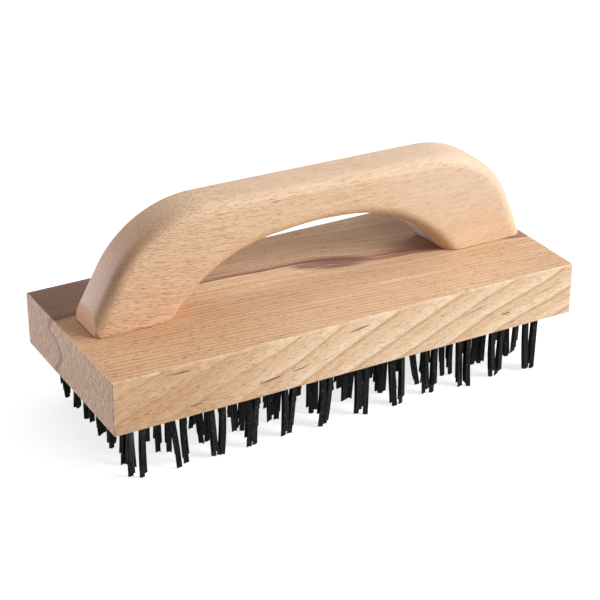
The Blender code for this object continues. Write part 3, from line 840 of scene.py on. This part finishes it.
# The inner right leg has painted shade, browner, and its rim of torn fibres.
gap_side = side * -1
painted_inner_leg_shade = gap_side.step(0.2, 0.9) * x.step(28.0, 48.0)
tone = (painted_inner_leg_shade * 0.36).mix(tone, linear(140, 104, 88))
tufty = x.noise(x / 1.2, y / 2.5, z / 1.2, 2.0).step(0.25, 0.55)
torn_rim = gap_side.step(0.005, 0.06) * y.step(5.5, 7.5) * x.step(48.0, 49.5)
tone = (torn_rim * (0.65 + tufty * 0.35) * 0.9).mix(tone, linear(254, 247, 240))
relief = streak * 0.5 - fleck
finish_with(beech_shader, tone, 0.50 + streak * 0.12, relief, relief_mm=0.05, specular=WOOD_SPECULAR)
handle.data.materials.append(beech)
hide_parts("handle")
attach(handle, "root")


# The wires: each tuft is a bundle of flat blackened spring wires folded in two in its hole, so
# it has a left and a right arm. They were cut off with shears and their tips stayed ragged.
WIRE_WIDTH = 0.0023
WIRE_THICKNESS = 0.00045
WIRES_PER_ARM = 3
ARM_ROOT_X = 0.0027
ARM_TIP_X = 0.0017
ARM_TIP_SHIFT = -0.0004
WIRE_STACK = 0.00085
WIRE_RINGS = 6
WIRE_SIDES = 6
WIRE_ROOT_Z = BLOCK_LOW.z + 0.0020
TIP_SLANT = 0.0010
TIP_NOTCH = 0.0006
# How far the tips end above the ground, and the share of it that an arm's longest wire keeps.
TIP_RAGGED = 0.0039
TIP_RAGGED_MOST = 0.009
LONGEST_RAGGED = 0.12
# How much the arms and wires stray from their places, bow and turn.
ROOT_STRAY_X = 0.00018
ROOT_STRAY_Y = 0.0003
TIP_STRAY_X = 0.00022
TIP_STRAY_Y = 0.0006
TIP_SPREAD_Y = 0.00025
BOW_X = 0.0004
BOW_Y = 0.0002
ARM_TURN = 0.16
WIRE_TURN = 0.05
LEAN_STRAY = 0.0008
OPENING_STRAY = 0.15
# How far the tufts of the front row lean to the right at their tips, in millimetres.
FRONT_LEANS = (0.0, 2.5, 0.5, -0.5, -1.0, -1.5, 0.5, 1.0, 0.5, 0.0, -0.5, -0.5)
# The tufts along the left end are closed up, and behind the second row they are shorter.
END_LEAN = -0.0006
END_OPENING = 0.35
END_SHORTER = 0.0014


def wire_row(row_centres, root_shifts, tip_shifts, tip_lifts, rng):
    """All the wires of one row of tufts, as points (wire, ring, six round the section, xyz).

    The middle line is root + (tip - root) t + bow 4 t (1 - t). Round it the section is three
    points across at -1, 0, 1 half widths, on two faces half a thickness apart, turned by yaw.
    The last ring is cut on a slant, with a notch in its middle.
    """
    tufts = len(row_centres)
    shape = (tufts, 2, WIRES_PER_ARM)
    layer = (np.arange(WIRES_PER_ARM) - (WIRES_PER_ARM - 1) / 2)[None, None, :]
    root = np.zeros((*shape, 3))
    root[..., 0] = (row_centres[:, :1] + root_shifts + rng.normal(0, ROOT_STRAY_X, (tufts, 2)))[..., None]
    root[..., 1] = row_centres[:, 1, None, None] + layer * WIRE_STACK
    root[..., 1] += rng.normal(0, ROOT_STRAY_Y, (tufts, 2, 1))
    root[..., 2] = WIRE_ROOT_Z
    tip = root.copy()
    tip[..., 0] = (row_centres[:, :1] + tip_shifts)[..., None] + rng.normal(0, TIP_STRAY_X, shape)
    tip[..., 1] += rng.normal(0, TIP_STRAY_Y, (tufts, 2, 1)) + layer * TIP_SPREAD_Y
    raised = np.abs(rng.normal(0, TIP_RAGGED, shape))
    longest = raised == raised.min(axis=2, keepdims=True)
    raised = np.where(longest, raised * LONGEST_RAGGED, np.minimum(raised, TIP_RAGGED_MOST))
    tip[..., 2] = raised + tip_lifts[:, None, None]
    bow = np.zeros((*shape, 3))
    bow[..., 0] = rng.normal(0, BOW_X, (tufts, 2, 1))
    bow[..., 1] = rng.normal(0, BOW_Y, (tufts, 2, 1))
    yaw = rng.normal(0, ARM_TURN, (tufts, 2, 1)) + rng.normal(0, WIRE_TURN, shape)
    t = np.linspace(0, 1, WIRE_RINGS)[:, None]
    middle = root[..., None, :] + (tip - root)[..., None, :] * t
    middle = middle + bow[..., None, :] * 4 * t * (1 - t)
    across = np.array([-1.0, 0.0, 1.0, 1.0, 0.0, -1.0]) * WIRE_WIDTH / 2
    through = np.array([-1.0, -1.0, -1.0, 1.0, 1.0, 1.0]) * WIRE_THICKNESS / 2
    cos, sin = np.cos(yaw)[..., None, None], np.sin(yaw)[..., None, None]
    points = np.repeat(middle[..., None, :], WIRE_SIDES, axis=-2)
    points[..., 0] += across * cos - through * sin
    points[..., 1] += across * sin + through * cos
    slant = rng.uniform(-1, 1, (*shape, 1)) * TIP_SLANT / 2
    notch = np.array([0.0, 1.0, 0.0, 0.0, 1.0, 0.0]) * rng.uniform(-1, 1, (*shape, 1)) * TIP_NOTCH
    points[..., -1, :, 2] += np.sign(across) * slant + notch
    points[..., 2] = np.maximum(points[..., 2], cad_low.z)
    return points.reshape(-1, WIRE_RINGS, WIRE_SIDES, 3)


steel, steel_shader, (x, y, z) = new_finish("black steel")
# Black scale with a painted sheen in streaks down each wire, and greyer spots.
sheen = x.noise(x / 0.5, y / 0.5, z / 14)
scale_spots = x.noise(x / 0.9, y / 0.9, z / 1.6)
steel_tone = sheen.step(0.45, 0.70).mix(linear(2, 2, 3), linear(38, 38, 40))
steel_tone = (scale_spots.step(0.58, 0.72) * 0.6).mix(steel_tone, linear(72, 71, 70))
# On the nearest tuft's left arm, a painted sheen in grey streaks.
sheen_streaks = x.noise(x / 0.8, y / 0.8, z / 9).step(0.35, 0.65)
painted_tuft_sheen = x.near(-99.0, 3.5) * (1 - y.step(-36.0, -32.0)) * sheen_streaks
steel_tone = (painted_tuft_sheen * 0.6).mix(steel_tone, linear(104, 104, 106))
finish_with(steel_shader, steel_tone, 0.40 + scale_spots * 0.2, sheen, relief_mm=0.05, specular=0.10)
wire_rng = np.random.default_rng(23)
one_wire = tube_faces(WIRE_RINGS, WIRE_SIDES)
for row, row_centres in enumerate(tuft_centres(), start=1):
    lean = wire_rng.normal(ARM_TIP_SHIFT, LEAN_STRAY, TUFT_COLUMNS)
    opening = wire_rng.normal(1.0, OPENING_STRAY, TUFT_COLUMNS)
    lifts = np.full(TUFT_COLUMNS, TIP_SLANT / 2)
    if row == 1:
        lean = np.array(FRONT_LEANS) / 1000
        lifts[:] = 0.0
    else:
        lean[0] = END_LEAN
        opening[0] = END_OPENING
    if row > 2:
        lifts[0] += END_SHORTER
    arms = opening[:, None] * np.array([-1.0, 1.0])
    wires = wire_row(row_centres, arms * ARM_ROOT_X, arms * ARM_TIP_X + lean[:, None], lifts, wire_rng)
    faces = [face + wire * WIRE_RINGS * WIRE_SIDES for wire in range(len(wires)) for face in one_wire]
    bundle = surface_object(f"wire_tufts_row{row}", wires, faces)
    bundle.data.materials.append(steel)
    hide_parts(*(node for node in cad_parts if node.startswith(f"wire_tufts_row{row}_")))
    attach(bundle, "root")


# The screws: two bright countersunk wood screws that hold the handle. They are driven up
# through the block, between the tufts, one into each foot.
zinc, zinc_shader, (x, y, z) = new_finish("bright screw steel")
brushed = x.noise(x / 0.3, y / 0.3, z / 3, 2.0)
zinc_tone = brushed.mix(linear(186, 184, 176), linear(214, 213, 208))
finish_with(zinc_shader, zinc_tone, 0.28 + brushed * 0.2, brushed, relief_mm=0.01)
zinc_shader.inputs["Metallic"].default_value = 1.0
for name in ("screw_left", "screw_right"):
    for material_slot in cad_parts[name].material_slots:
        material_slot.material = zinc
